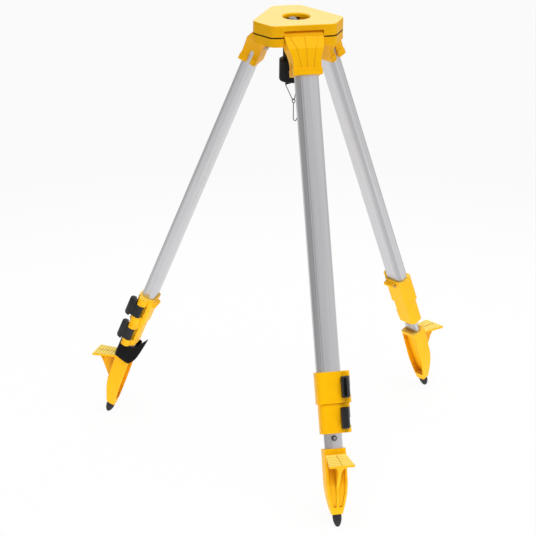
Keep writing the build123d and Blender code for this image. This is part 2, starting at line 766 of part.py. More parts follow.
def make_lever(fixed_width, fixed_depth, pivot_reach, top, height):
    """Cam lever: barrel with a rise towards the tube, stem, web over one ear, flap with a sunk panel."""
    middle = top + height / 2
    flap_height = stem_height + 2 * lever_overhang
    flap_back = fixed_depth / 2 + clamp_wall + flap_standoff
    flap_front = flap_back + flap_thickness
    stem_half = stem_height / 2 - running_gap
    with BuildPart() as lever:
        with BuildSketch(Plane.XY.offset(-middle + stem_half)):
            with Locations((pivot_inset, pivot_reach), (pivot_inset, pivot_reach - cam_rise)):
                Circle(cam_radius)
            with BuildLine():
                Polyline(
                    (pivot_inset, pivot_reach - cam_radius),
                    (flap_back + stem_bury, pivot_reach - cam_radius),
                    (flap_back + stem_bury, pivot_reach + flap_outer),
                    (pivot_inset, pivot_reach + cam_radius),
                    close=True,
                )
            make_face()
        extrude(amount=-2 * stem_half)
        with BuildSketch(Plane.XY.offset(-middle + flap_height / 2)):
            with BuildLine():
                Polyline(
                    (flap_back, pivot_reach - flap_inner),
                    (flap_front, pivot_reach - flap_inner),
                    (flap_front, pivot_reach + flap_outer - 2 * flap_round),
                    (flap_back + flap_round, pivot_reach + flap_outer),
                    (flap_back, pivot_reach + flap_outer),
                    close=True,
                )
            make_face()
        extrude(amount=-flap_height)
        with BuildSketch(Plane.XY.offset(-middle + flap_height / 2)):
            with BuildLine():
                web_back = pivot_inset + ear_radius + running_gap
                web_inner = fixed_width / 2 + clamp_wall + running_gap
                Polyline(
                    (web_back, web_inner),
                    (flap_back + stem_bury, web_inner),
                    (flap_back + stem_bury, pivot_reach + flap_outer),
                    (web_back, pivot_reach + cam_radius),
                    close=True,
                )
            make_face()
        extrude(amount=-flap_height / 2)
        chamfer(lever.faces().sort_by(Axis.X)[-1].edges(), flap_round)
        with BuildSketch(Plane.YZ.offset(flap_front)):
            with Locations((pivot_reach + (flap_outer - flap_inner - 2 * flap_round) / 2, -middle)):
                panel_width = flap_outer + flap_inner - 2 * flap_round - 2 * flap_panel_inset
                Rectangle(panel_width, flap_height - 2 * flap_round - flap_panel_inset)
        extrude(amount=-flap_panel_depth, mode=Mode.SUBTRACT)
        with BuildSketch(Plane.XY.offset(-middle + flap_height)):
            with Locations((pivot_inset, pivot_reach)):
                Circle(lever_pin_radius + pin_gap)
        extrude(amount=-2 * flap_height, mode=Mode.SUBTRACT)
    return lever


def make_lever_pin(pivot_reach, top, height):
    """Steel pin through both ears."""
    with BuildPart() as pin:
        with BuildSketch(Plane.XY.offset(-top - lever_pin_inset)):
            with Locations((pivot_inset, pivot_reach)):
                Circle(lever_pin_radius)
        extrude(amount=-height + lever_pin_inset)
    return pin


def make_pad(slide_width, pivot_reach, top, height):
    """Brake pad between the cam and the sliding tube."""
    inner = slide_width / 2 + seat_gap
    outer = pivot_reach - cam_radius - cam_rise - seat_gap
    with BuildPart() as pad:
        with BuildSketch(Plane.XY.offset(-(top + height / 2) + pad_height / 2)):
            with Locations((pivot_inset, (inner + outer) / 2)):
                Rectangle(pad_width, outer - inner)
        extrude(amount=-pad_height)
    return pad


# Clamps on the upper and middle tubes, with levers, pins and pads
upper_place = (upper_clamp_top, upper_clamp_height)
lower_place = (lower_clamp_top, lower_clamp_height)
upper_clamp = make_clamp(
    upper_width, upper_tube_depth, middle_width, middle_tube_depth, upper_pivot_reach, *upper_place, lug=True
)
upper_lever = make_lever(upper_width, upper_tube_depth, upper_pivot_reach, *upper_place)
upper_lever_pin = make_lever_pin(upper_pivot_reach, *upper_place)
upper_brake_pad = make_pad(middle_width, upper_pivot_reach, *upper_place)
lower_clamp = make_clamp(
    middle_width, middle_tube_depth, lower_width, lower_tube_depth, lower_pivot_reach, *lower_place
)
lower_lever = make_lever(middle_width, middle_tube_depth, lower_pivot_reach, *lower_place)
lower_lever_pin = make_lever_pin(lower_pivot_reach, *lower_place)
lower_brake_pad = make_pad(lower_width, lower_pivot_reach, *lower_place)

# Foot: tapering shell with a trough behind, panels and rib in front, and a level pedal
front_line = [
    (foot_front, -foot_top - pedal_drop),
    (foot_waist_front, -foot_top - foot_waist_drop),
    (foot_shin_front, -foot_top - foot_shin_drop),
    (foot_end_front, -foot_bottom),
]
pedal_plane = Plane(
    (foot_front, 0, -foot_top - pedal_drop), x_dir=(splay_cos, 0, -splay_sin), z_dir=(splay_sin, 0, splay_cos)
)


def foot_outline(inset=0.0):
    """Front view of the foot: straight sides, then a convex taper to the point."""
    half = foot_half_width - inset
    end = foot_end_half_width - inset
    with BuildSketch(Plane.YZ) as outline:
        with BuildLine():
            Polyline((0, -foot_top), (half, -foot_top), (half, -foot_top - foot_taper_start))
            TangentArc((half, -foot_top - foot_taper_start), (end, -foot_bottom), tangent=(0, -1))
            Polyline((end, -foot_bottom), (0, -foot_bottom), (0, -foot_top))
        make_face()
        mirror(about=Plane.YZ)
    return outline.sketch


with BuildPart() as foot_panels:
    with BuildSketch(Plane.XZ):
        with BuildLine():
            Polyline(*front_line, *[(x - panel_depth, z) for x, z in reversed(front_line)], close=True)
        make_face()
    extrude(amount=foot_half_width, both=True)
    extrude(foot_outline(panel_rim), amount=far, both=True, mode=Mode.INTERSECT)
    with BuildSketch(Plane.YZ):
        with Locations((0, -foot_top - foot_length / 2)):
            Rectangle(2 * rib_half_width, foot_length)
        with Locations((0, -foot_bottom + panel_end / 2)):
            Rectangle(2 * foot_half_width, panel_end)
        with Locations((0, -foot_top - panel_start / 2)):
            Rectangle(2 * foot_half_width, panel_start)
    extrude(amount=far, both=True, mode=Mode.SUBTRACT)

with BuildPart() as foot_trough:
    with BuildSketch(Plane.YZ.offset(-lower_tube_depth / 2 - trough_wall)):
        with Locations((0, -foot_top - (foot_length + trough_top - trough_end) / 2)):
            Rectangle(2 * foot_half_width, foot_length - trough_top - trough_end)
    extrude(amount=-far)
    extrude(foot_outline(trough_rim), amount=far, both=True, mode=Mode.INTERSECT)
    fillet(foot_trough.edges().filter_by(Axis.X).group_by(Axis.Z)[0], trough_round)

with BuildPart() as foot:
    with BuildSketch(Plane.XZ):
        with BuildLine():
            Polyline(
                (-foot_back, -foot_top),
                (foot_front, -foot_top),
                *front_line,
                (-foot_end_back, -foot_bottom),
                close=True,
            )
        make_face()
    extrude(amount=foot_half_width, both=True)
    extrude(foot_outline(), amount=far, both=True, mode=Mode.INTERSECT)
    for facing, edge_round_here in ((1, foot_edge), (-1, foot_rim_round)):
        faces_out = foot.faces().filter_by(lambda face: facing * face.normal_at().X > splay_cos - splay_sin)
        side_edges = faces_out.edges().filter_by(lambda edge: abs(edge.center().Y) > foot_end_half_width / 2)
        fillet(side_edges, edge_round_here)
    add(foot_panels.part, mode=Mode.SUBTRACT)
    with BuildSketch(pedal_plane):
        with BuildLine():
            Polyline(
                (-pedal_bury, -pedal_root_half),
                (0, -pedal_root_half),
                (pedal_length, -pedal_end_half),
                (pedal_length, pedal_end_half),
                (0, pedal_root_half),
                (-pedal_bury, pedal_root_half),
                close=True,
            )
        make_face()
    extrude(amount=-pedal_thickness)
    with BuildSketch(Plane.XZ):
        with BuildLine():
            under = pedal_plane.offset(pedal_groove_depth - pedal_thickness)
            gusset_top = under.from_local_coords((gusset_reach, 0, 0))
            shin_slope = (foot_shin_front - foot_waist_front) / (foot_shin_drop - foot_waist_drop)
            gusset_front = foot_waist_front + shin_slope * (gusset_drop - foot_waist_drop)
            gusset_end = Vector(gusset_front, 0, -foot_top - gusset_drop)
            gusset_root = under.from_local_coords((-pedal_bury, 0, 0))
            Polyline(
                (gusset_root.X, gusset_root.Z),
                (gusset_top.X, gusset_top.Z),
                (gusset_end.X, gusset_end.Z),
                (gusset_end.X - panel_depth, gusset_end.Z),
                close=True,
            )
        make_face()
    extrude(amount=rib_half_width, both=True)
    edge_run = (gusset_top - gusset_end).normalized()
    with BuildSketch(Plane(gusset_top, x_dir=(0, 1, 0), z_dir=(edge_run.Z, 0, -edge_run.X))):
        with BuildLine():
            Polyline((0, -gusset_flare_drop), (0, 0), (gusset_flare_half, 0))
            TangentArc((rib_half_width, -gusset_flare_drop), (gusset_flare_half, 0), tangent=(0, 1))
            Line((rib_half_width, -gusset_flare_drop), (0, -gusset_flare_drop))
        make_face()
        mirror(about=Plane.YZ)
    extrude(amount=-gusset_flare_depth)
    with BuildSketch(pedal_plane):
        with Locations((pedal_length / 2 + pedal_grip_start / 2, 0)):
            Rectangle(pedal_length - pedal_grip_start, pedal_groove_width)
        with GridLocations(pedal_grip_pitch, 0, pedal_grip_rows, 1):
            with Locations((pedal_length / 2 + pedal_grip_start / 2, 0)):
                Rectangle(pedal_groove_width / 2, 2 * pedal_end_half)
    extrude(amount=-pedal_groove_depth, mode=Mode.SUBTRACT)
    add(foot_trough.part, mode=Mode.SUBTRACT)
    with BuildSketch(Plane.XY.offset(-foot_top)):
        add(tube_section(lower_width, lower_tube_depth, seat_gap))
    extrude(amount=-foot_socket - seat_gap, mode=Mode.SUBTRACT)
    with BuildSketch(Plane.XY.offset(-foot_bottom)):
        with Locations((-tip_offset, 0)):
            Circle(tip_shank_radius + seat_gap)
    extrude(amount=tip_shank + seat_gap, mode=Mode.SUBTRACT)

# Foot point: a blunt bullet on a shank
tip_axis = Axis((-tip_offset, 0, 0), (0, 0, 1))
with BuildPart() as foot_tip:
    with BuildSketch(Plane((-tip_offset, 0, 0), x_dir=(1, 0, 0), z_dir=(0, -1, 0))):
        with BuildLine():
            Polyline(
                (0, -foot_bottom + tip_shank),
                (tip_shank_radius, -foot_bottom + tip_shank),
                (tip_shank_radius, -foot_bottom),
                (tip_radius, -foot_bottom),
                *[(out * tip_radius, -foot_bottom - down * tip_length) for out, down in tip_profile],
                (0, -foot_bottom - tip_length),
                close=True,
            )
        make_face()
    revolve(axis=tip_axis)

# Stop bolt: nut and washer outside, domed head and washer inside
tube_face = lower_tube_depth / 2
bolt_reach = tube_face + washer_thickness + stop_nut_height + stop_bolt_end
with BuildPart() as stop_bolt:
    extrude(cross_hole(stop_bolt_radius, stop_bolt_place), amount=bolt_reach)
    extrude(cross_hole(stop_bolt_radius, stop_bolt_place), amount=-tube_face - washer_thickness)
    for side in (1, -1):
        with BuildSketch(Plane.YZ.offset(side * tube_face)):
            with Locations((0, -stop_bolt_place)):
                Circle(stop_washer_radius)
        extrude(amount=side * washer_thickness)
    with BuildSketch(Plane.YZ.offset(tube_face + washer_thickness)):
        with Locations((0, -stop_bolt_place)):
            RegularPolygon(stop_bolt_head_radius, 6)
    extrude(amount=stop_nut_height)
    with BuildSketch(Plane.YZ.offset(-tube_face - washer_thickness)):
        with Locations((0, -stop_bolt_place)):
            Circle(stop_bolt_head_radius)
    extrude(amount=-stop_bolt_head, taper=stop_head_taper)

# Strap: a cuff round the top of the foot, cut on a slant, with its free end standing off
cuff_front = max(foot_front, bolt_reach) + strap_gap
cuff_back = foot_back + strap_back_gap
cuff_middle = (cuff_front - cuff_back) / 2
cuff_top = -lower_clamp_bottom - strap_top_gap
cuff_low_front = -lower_clamp_bottom - strap_front_drop
cuff_low_back = -lower_clamp_bottom - strap_back_drop
with BuildPart() as leg_strap:
    with BuildSketch(Plane.XY.offset(cuff_top)):
        with Locations((cuff_middle, 0)):
            RectangleRounded(
                cuff_front + cuff_back + 2 * strap_thickness,
                2 * (foot_half_width + strap_gap + strap_thickness),
                strap_corner,
            )
            RectangleRounded(
                cuff_front + cuff_back,
                2 * (foot_half_width + strap_gap),
                strap_corner - strap_thickness,
                mode=Mode.SUBTRACT,
            )
    extrude(amount=cuff_low_back - cuff_top)
    with BuildSketch(Plane.XZ):
        with BuildLine():
            Polyline(
                (cuff_front + strap_thickness, cuff_low_front),
                (-cuff_back - strap_thickness, cuff_low_back),
                (far, cuff_low_back - far),
                (far, cuff_low_front),
                close=True,
            )
        make_face()
    extrude(amount=far, both=True, mode=Mode.SUBTRACT)
    with BuildSketch(Plane.XZ.offset(-foot_half_width - strap_gap)):
        with BuildLine():
            tail_root = strap_corner - cuff_back
            Polyline(
                (tail_root, cuff_top),
                (tail_root, cuff_low_back + strap_corner),
                (-cuff_back, cuff_low_back + strap_corner / 2),
                (-cuff_back - strap_tail_spread, cuff_top - strap_tail_fall),
                (-cuff_back - strap_tail_lean, cuff_top + strap_tail_rise),
                (-cuff_back - strap_notch_lean, cuff_top + strap_notch_rise),
                (-cuff_back, cuff_top),
                close=True,
            )
        make_face()
    extrude(amount=-strap_thickness)

leg_pieces = {
    "shoulder": shoulder,
    "fasteners": leg_fasteners,
    "upper_tube": upper_tube,
    "upper_clamp": upper_clamp,
    "upper_lever": upper_lever,
    "upper_lever_pin": upper_lever_pin,
    "upper_brake_pad": upper_brake_pad,
    "middle_tube": middle_tube,
    "lower_clamp": lower_clamp,
    "lower_lever": lower_lever,
    "lower_lever_pin": lower_lever_pin,
    "lower_brake_pad": lower_brake_pad,
    "lower_tube": lower_tube,
    "stop_bolt": stop_bolt,
    "foot": foot,
    "foot_tip": foot_tip,
}
for leg, azimuth in leg_azimuths.items():
    for name, piece in leg_pieces.items():
        save(piece.part, f"{leg}_{name}", leg_plane(azimuth))
save(leg_strap.part, "leg_strap", leg_plane(leg_azimuths["left_leg"]))
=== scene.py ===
"""Surveying tripod with three telescopic legs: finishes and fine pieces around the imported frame."""

import json
import math

import bpy
from mathutils import Matrix, Vector


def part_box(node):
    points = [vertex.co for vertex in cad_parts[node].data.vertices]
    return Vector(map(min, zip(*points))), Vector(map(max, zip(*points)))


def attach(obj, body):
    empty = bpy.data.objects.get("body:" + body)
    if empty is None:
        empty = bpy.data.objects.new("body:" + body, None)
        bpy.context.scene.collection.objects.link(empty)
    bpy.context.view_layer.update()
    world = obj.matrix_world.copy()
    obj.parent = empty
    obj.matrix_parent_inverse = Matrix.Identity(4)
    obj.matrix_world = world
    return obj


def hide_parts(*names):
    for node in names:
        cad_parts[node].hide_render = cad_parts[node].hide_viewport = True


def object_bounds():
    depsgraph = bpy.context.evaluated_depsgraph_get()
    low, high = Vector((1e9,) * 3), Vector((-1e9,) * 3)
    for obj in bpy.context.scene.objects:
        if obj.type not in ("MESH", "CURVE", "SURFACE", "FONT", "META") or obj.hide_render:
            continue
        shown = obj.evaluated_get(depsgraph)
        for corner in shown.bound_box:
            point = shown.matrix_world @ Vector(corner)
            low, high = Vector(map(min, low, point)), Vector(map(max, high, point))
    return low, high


bl_info = {
    "name": "Surveying Tripod",
    "version": (1, 0, 0),
    "blender": (4, 5, 0),
    "location": "3D View > Sidebar > Tripod",
    "description": "Finishes and fine pieces of a surveying tripod with telescopic legs",
    "category": "Add Mesh",
}

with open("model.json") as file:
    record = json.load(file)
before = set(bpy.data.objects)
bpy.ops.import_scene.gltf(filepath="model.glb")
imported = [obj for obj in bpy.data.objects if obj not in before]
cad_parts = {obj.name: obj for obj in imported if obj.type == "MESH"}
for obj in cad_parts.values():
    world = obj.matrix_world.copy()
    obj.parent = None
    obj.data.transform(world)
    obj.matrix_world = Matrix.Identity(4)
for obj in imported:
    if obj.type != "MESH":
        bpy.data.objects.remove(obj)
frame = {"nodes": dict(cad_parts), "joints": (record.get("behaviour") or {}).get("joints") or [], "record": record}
CAD_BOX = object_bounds()
JOINTS = {joint["name"]: joint for joint in frame["joints"]}
NODE_SLOTS = {part["node"]: part["material_slot"] for part in frame["record"]["subparts"]}
LEGS = ("front_leg", "right_leg", "left_leg")
MM = 0.001
SMOOTH_ANGLE = math.radians(35)

# Sizes of the solids that the finishes and the lever copies follow
TUBE_AXIS_OFFSET = 4 * MM  # from the hinge pin out to the tube's axis
TUBE_COVE = 7.5 * MM  # from the tube's edge to the far side of its cove
NUT_RADIUS = 4.6 * MM
SHANK_RADIUS = 2.5 * MM
HEAD_GROOVE = 2.4 * MM  # between the head's plate and its frame, where the head's finish paints a band of shade
FLAP_DEPTH = 10.3 * MM  # from a lever flap's front to its back

# Marks of the tube that are in its shading alone
STEP_SHADE_LINE = 2.6 * MM  # from the cove in to a thin line of painted shade, as a small step along the face would show
TUBE_CROWN = 1.5 * MM  # rise of the broad faces

# Points of a lever's mesh: the same point, the same small corner, and near enough to a plane
SAME_POINT = 0.005 * MM
SAME_CORNER = 0.4 * MM
NEAR_PLANE = 0.05 * MM

# Route of the strap round the left leg, in millimetres: outward, sideways, then the depths of its two edges
STRAP_ROUTE = (
    (-18.6, 8.0, 681.0, 716.5),
    (-18.6, -8.0, 681.0, 717.5),
    (-18.2, -18.0, 680.5, 717.5),
    (-14.0, -20.6, 680.5, 716.5),
    (0.0, -20.8, 680.0, 714.0),
    (10.5, -20.4, 679.5, 711.5),
    (14.8, -17.0, 677.0, 710.0),
    (15.0, 0.0, 675.5, 709.5),
    (14.8, 17.0, 675.0, 709.7),
    (10.5, 20.6, 679.0, 710.8),
    (0.0, 21.2, 680.0, 712.4),
    (-12.0, 21.2, 680.0, 714.6),
    (-17.5, 21.2, 676.5, 714.8),
    (-22.5, 21.6, 667.5, 707.0),
    (-27.5, 22.2, 658.5, 698.0),
    (-31.5, 22.6, 651.5, 672.0),
    (-34.0, 22.8, 646.8, 651.0),
)
STRAP_ROWS = 6

# Stitches of the strap, in millimetres: each row's place outward, and sideways just clear of the strap, the depths
# that a row runs between, and a stitch's size along the row, across it and off the strap
STITCH_ROWS = (-4.0, -8.0)
STITCH_SIDE = 24.0
STITCH_DEPTHS = (685.0, 713.0)
STITCH_SIZE = (2.4, 0.9, 0.7)
STITCH_GAP = 1.1


def linear(red, green, blue):
    """A colour of 0 to 255 a channel, as seen, in the linear values that shaders use."""
    seen = (red / 255, green / 255, blue / 255)
    return tuple(c / 12.92 if c <= 0.04045 else ((c + 0.055) / 1.055) ** 2.4 for c in seen)


def colour(name, description, *channels):
    """A colour property with its default given as seen, 0 to 255."""
    return bpy.props.FloatVectorProperty(
        name=name, description=description, subtype="COLOR", size=3, min=0, max=1, default=linear(*channels)
    )


def length(name, description, millimetres):
    """A length property with its default given in millimetres."""
    return bpy.props.FloatProperty(
        name=name, description=description, unit="LENGTH", precision=5, min=0, default=millimetres * MM
    )


class TripodColours(bpy.types.PropertyGroup):
    """Colours of the finishes."""

    yellow: colour("Yellow", "Moulded head, shoulders, clamps and feet", 252, 187, 0)
    yellow_deep: colour("Deep yellow", "Thicker, darker clouds in the yellow moulding", 246, 170, 0)
    # Edges paler, partly from wear and partly as a painted highlight
    yellow_worn_highlit: colour("Worn yellow", "Rubbed edges of the yellow moulding", 255, 212, 70)
    # Painted sheen: the paler colour that top-facing surfaces of the yellow moulding are mixed towards
    yellow_top_sheen: colour("Faded yellow", "Sun-bleached tops of the yellow moulding", 255, 228, 112)
    # Painted sheen: the paler colour that the head's top is mixed towards
    yellow_seat_sheen: colour("Seat yellow", "Sun-faded top of the head", 255, 229, 150)
    yellow_hollow: colour("Hollow yellow", "Shaded hollows of the feet", 212, 136, 4)
    # Painted shade: the colour that deep grooves and seams of the yellow moulding are darkened to
    yellow_crevice_shade: colour("Yellow crevices", "Grime in the grooves of the yellow moulding", 58, 28, 0)
    black: colour("Black", "Moulded levers and knob", 13, 13, 14)
    # Edges paler, partly from wear and partly as a painted highlight; also the tone of the black's clouds
    black_worn_highlit: colour("Worn black", "Rubbed edges of the black moulding", 70, 70, 74)
    # Painted shade: the colour that the depths of the black moulding are darkened to
    black_crevice_shade: colour("Black crevices", "Depths of the black moulding", 6, 6, 7)
    aluminium: colour("Aluminium", "Anodised leg tubes", 219, 218, 220)
    aluminium_dark: colour("Aluminium streaks", "Drawing streaks on the leg tubes", 194, 194, 198)
    aluminium_cove: colour("Aluminium coves", "Shaded coves along the leg tubes", 104, 104, 108)
    zinc: colour("Zinc", "Plated fasteners, pins, arm and washers", 206, 205, 200)
    dark_steel: colour("Dark steel", "Blackened steel of the bush and of the stop bolts' nuts", 62, 62, 66)
    bolt: colour("Stop bolts", "Bare ends of the stop bolts", 178, 178, 180)
    stud: colour("Stud", "Bright steel of the centre screw", 184, 184, 186)
    wire: colour("Wire", "Spring wire of the plumb bail and hook", 112, 112, 116)
    rubber: colour("Rubber", "Points of the feet", 40, 38, 41)
    webbing: colour("Webbing", "Woven strap", 8, 8, 9)
    thread: colour("Thread", "Stitches of the strap", 34, 34, 37)
    nylon: colour("Nylon", "Brake pads inside the clamps", 210, 206, 196)


class TripodSizes(bpy.types.PropertyGroup):
    """Sizes of the pieces that are added to the frame."""

    edge_round: length("Edge rounding", "Softened edges of the mouldings", 0.7)
    thread_pitch: length("Thread pitch", "Pitch of the 5/8 inch screw", 2.309)
    thread_depth: length("Thread depth", "Depth of the thread of the 5/8 inch screw", 1.25)
    lever_corner: length("Lever corners", "Rounding of the corners of the lever flaps", 3.2)
    strap_thickness: length("Strap thickness", "Thickness of the webbing", 2.0)


class Value:
    """An output socket of a finish. Arithmetic on it adds Math nodes."""

    def __init__(self, finish, socket):
        self.finish = finish
        self.socket = socket

    def _math(self, operation, first, second):
        return self.finish.node("ShaderNodeMath", {"operation": operation}, {0: first, 1: second})

    def __add__(self, other):
        return self._math("ADD", self, other)

    def __radd__(self, other):
        return self._math("ADD", other, self)

    def __sub__(self, other):
        return self._math("SUBTRACT", self, other)

    def __rsub__(self, other):
        return self._math("SUBTRACT", other, self)

    def __mul__(self, other):
        return self._math("MULTIPLY", self, other)

    def wave(self):
        """Sine of the value."""
        return self._math("SINE", self, 0.0)

    def size(self):
        """The value without its sign."""
        return self._math("ABSOLUTE", self, 0.0)

    def between(self, low, high):
        """0 below low, 1 above high, smooth between."""
        return self.finish.node(
            "ShaderNodeMapRange",
            {"interpolation_type": "SMOOTHSTEP"},
            {"Value": self, "From Min": low, "From Max": high},
        )


class Nodes:
    """A node tree under construction."""

    def __init__(self, tree):
        self.tree = tree

    def feed(self, socket, value):
        """Set a socket, or link it to a value."""
        if isinstance(value, Value):
            self.tree.links.new(value.socket, socket)
        else:
            socket.default_value = value

    def node(self, kind, settings=None, inputs=None, output=0):
        """Any node: its settings first, then the values or links of its sockets."""
        node = self.tree.nodes.new(kind)
        for key, value in (settings or {}).items():
            setattr(node, key, value)
        for key, value in (inputs or {}).items():
            self.feed(node.inputs[key], value)
        return Value(self, node.outputs[output])

    def split(self, vector):
        """The three numbers of a vector."""
        parts = self.tree.nodes.new("ShaderNodeSeparateXYZ")
        self.feed(parts.inputs[0], vector)
        return [Value(self, socket) for socket in parts.outputs]

    def ray(self, kind):
        """1 for rays of a kind, such as Camera."""
        return self.node("ShaderNodeLightPath", output=f"Is {kind} Ray")

    def blend(self, factor, first, second):
        """One shader mixed into another."""
        return self.node("ShaderNodeMixShader", inputs={0: factor, 1: first, 2: second})


class Finish(Nodes):
    """A material under construction: its shader, its nodes and the piece's own coordinates."""

    def __init__(self, name, sockets):
        self.material = bpy.data.materials.new(name)
        self.material.use_nodes = True
        super().__init__(self.material.node_tree)
        self.shader = self.tree.nodes["Principled BSDF"]
        self.surface(sockets)
        self.place = self.node("ShaderNodeTexCoord", output="Object")

    def surface(self, sockets):
        """Values or links of the shader's own sockets."""
        for key, value in sockets.items():
            self.feed(self.shader.inputs[key], value)

    def noise(self, scale, detail=2.0, place=None, roughness=0.5):
        """Cloudy noise, on the piece's own coordinates or others."""
        return self.node(
            "ShaderNodeTexNoise",
            inputs={"Vector": place or self.place, "Scale": scale, "Detail": detail, "Roughness": roughness},
        )

    def mix(self, factor, first, second):
        """A colour between two others."""
        ends = [c if isinstance(c, Value) else (*c, 1.0) for c in (first, second)]
        return self.node("ShaderNodeMix", {"data_type": "RGBA"}, {0: factor, 6: ends[0], 7: ends[1]}, output=2)

    def along(self, matrix):
        """Coordinates turned and moved to a leg."""
        inputs = {"Vector": self.place, "Location": matrix.to_translation(), "Rotation": matrix.to_euler()}
        return self.node("ShaderNodeMapping", {"vector_type": "TEXTURE"}, inputs)

    def stretched(self, scale, place=None):
        """Coordinates scaled apart along their own axes."""
        inputs = {0: place or self.place, 1: scale}
        return self.node("ShaderNodeVectorMath", {"operation": "MULTIPLY"}, inputs)

    def crevices(self, distance, shallow=0.5, deep=0.92):
        """1 deep in grooves and seams, 0 on open surfaces."""
        open_air = self.node("ShaderNodeAmbientOcclusion", {"samples": 8}, {"Distance": distance}, output="AO")
        return (1.0 - open_air).between(shallow, deep)

    def soft_edges(self, radius):
        """Normal with the edges rounded off, and how near each point is to such an edge."""
        rounded = self.node("ShaderNodeBevel", {"samples": 6}, {"Radius": radius})
        flat = self.node("ShaderNodeNewGeometry", output="Normal")
        along = self.node("ShaderNodeVectorMath", {"operation": "DOT_PRODUCT"}, {0: rounded, 1: flat}, "Value")
        return rounded, (1.0 - along).between(0.02, 0.3)

    def relief(self, height, strength, distance, normal=None):
        """Bump on the surface, over a normal such as that of soft edges."""
        inputs = {"Height": height, "Strength": strength, "Distance": distance}
        if normal:
            inputs["Normal"] = normal
        self.surface({"Normal": self.node("ShaderNodeBump", inputs=inputs)})


def moulding(name, shades, roughness, edge, gloss=0.16, sheen_share=0.45, shaded_band=None, hollow_shade=None):
    """Moulded plastic: cloudy pigment, fine grain, edges lighter from wear and as a painted highlight, painted sheen on
    top-facing surfaces, painted shade in its crevices.

    The shades are of the body, its clouds, its worn and highlit edges, the painted sheen on its tops and the painted
    shade in its crevices. A band between two heights is painted with shade too, and deep hollows are as well where a
    colour for them is given.
    """
    body, cloud, worn_and_highlit, sheen, crevice_shade = shades
    finish = Finish(name, {"Specular IOR Level": gloss})
    rounded, edges = finish.soft_edges(edge)
    # Painted shade deep in grooves and seams, found by ambient occlusion
    crevice_shade_mask = finish.crevices(2.5 * MM)
    # A band along the parting groove, painted with shade too
    if shaded_band:
        bottom, top = shaded_band
        height = finish.split(finish.place)[2]
        over = height.between(bottom - 0.15 * MM, bottom - 0.05 * MM)
        past = height.between(top, top + 0.1 * MM)
        crevice_shade_mask = 1 - (1 - crevice_shade_mask) * (1 - over * (1 - past))
    clouds = finish.noise(14.0, 3.0).between(0.35, 0.75)
    grain = finish.noise(1500.0, 2.0)
    scuffs = finish.noise(1.0, 4.0, finish.stretched((90, 900, 240))).between(0.6, 0.72)
    # Edges paler, partly from wear and partly as a painted highlight
    rubbed_and_highlit = edges * finish.noise(120.0, 3.0).between(0.38, 0.62)
    # Top-facing surfaces paler: a painted sheen
    tops = finish.split(finish.node("ShaderNodeTexCoord", output="Normal"))[2].between(0.86, 0.94)
    pigment = finish.mix(tops * sheen_share, finish.mix(clouds * 0.35, body, cloud), sheen)
    pigment = finish.mix(rubbed_and_highlit * 0.55, pigment, worn_and_highlit)
    # Deep hollows darkened: painted shade
    if hollow_shade:
        pigment = finish.mix(finish.crevices(30 * MM, 0.15, 0.6) * 0.9, pigment, hollow_shade)
    finish.surface(
        {
            "Base Color": finish.mix(crevice_shade_mask * 0.9, pigment, crevice_shade),
            "Roughness": roughness + (grain - 0.5) * 0.12 + scuffs * 0.1 - rubbed_and_highlit * 0.1 + crevice_shade_mask * 0.2,
        }
    )
    finish.relief(grain - scuffs * 0.3, 0.16, 0.25 * MM, rounded)
    return finish.material


def drawn_tube(name, matrix, half_width, body, streak, shade):
    """Anodised tube: fine lines along it from the drawing die, painted shade in a cove and along a thin line, painted
    highlights on the edges, crowned faces, handling marks.
    """
    finish = Finish(name, {"Metallic": 1.0})
    rounded, edges = finish.soft_edges(0.5 * MM)
    local = finish.along(matrix)
    across = finish.split(local)[1] * -1
    land = half_width - TUBE_COVE
    cove = across.between(land, land + 0.4 * MM) * (1 - across.between(half_width - 1.4 * MM, half_width - 0.6 * MM))
    step_shade_line = 1 - (across - land + STEP_SHADE_LINE).size().between(0.5 * MM, 1.1 * MM)
    lines = finish.noise(1.0, 3.0, finish.stretched((1600, 1600, 5), local))
    bands = finish.noise(1.0, 2.0, finish.stretched((130, 130, 3), local)).between(0.3, 0.7)
    marks = finish.noise(38.0, 4.0, roughness=0.65).between(0.56, 0.7)
    tone = finish.mix(lines.between(0.35, 0.75) * 0.45 + bands * 0.2, body, streak)
    # Painted highlights on the edges
    bright = (0.8, 0.8, 0.81)
    tone = finish.mix(edges * 0.4, tone, bright)
    finish.surface(
        {
            # Painted shade in the cove and along a thin line next to it
            "Base Color": finish.mix(cove * 0.25 + step_shade_line * 0.3, tone, shade),
            "Roughness": 0.36 + (lines - 0.5) * 0.16 + marks * 0.06 + cove * 0.1,
        }
    )
    bulge = across * across * (-1 / half_width**2)
    crowned = {"Height": bulge, "Strength": 1.0, "Distance": TUBE_CROWN, "Normal": rounded}
    finish.relief(lines, 0.04, 0.1 * MM, finish.node("ShaderNodeBump", inputs=crowned))
    return finish.material


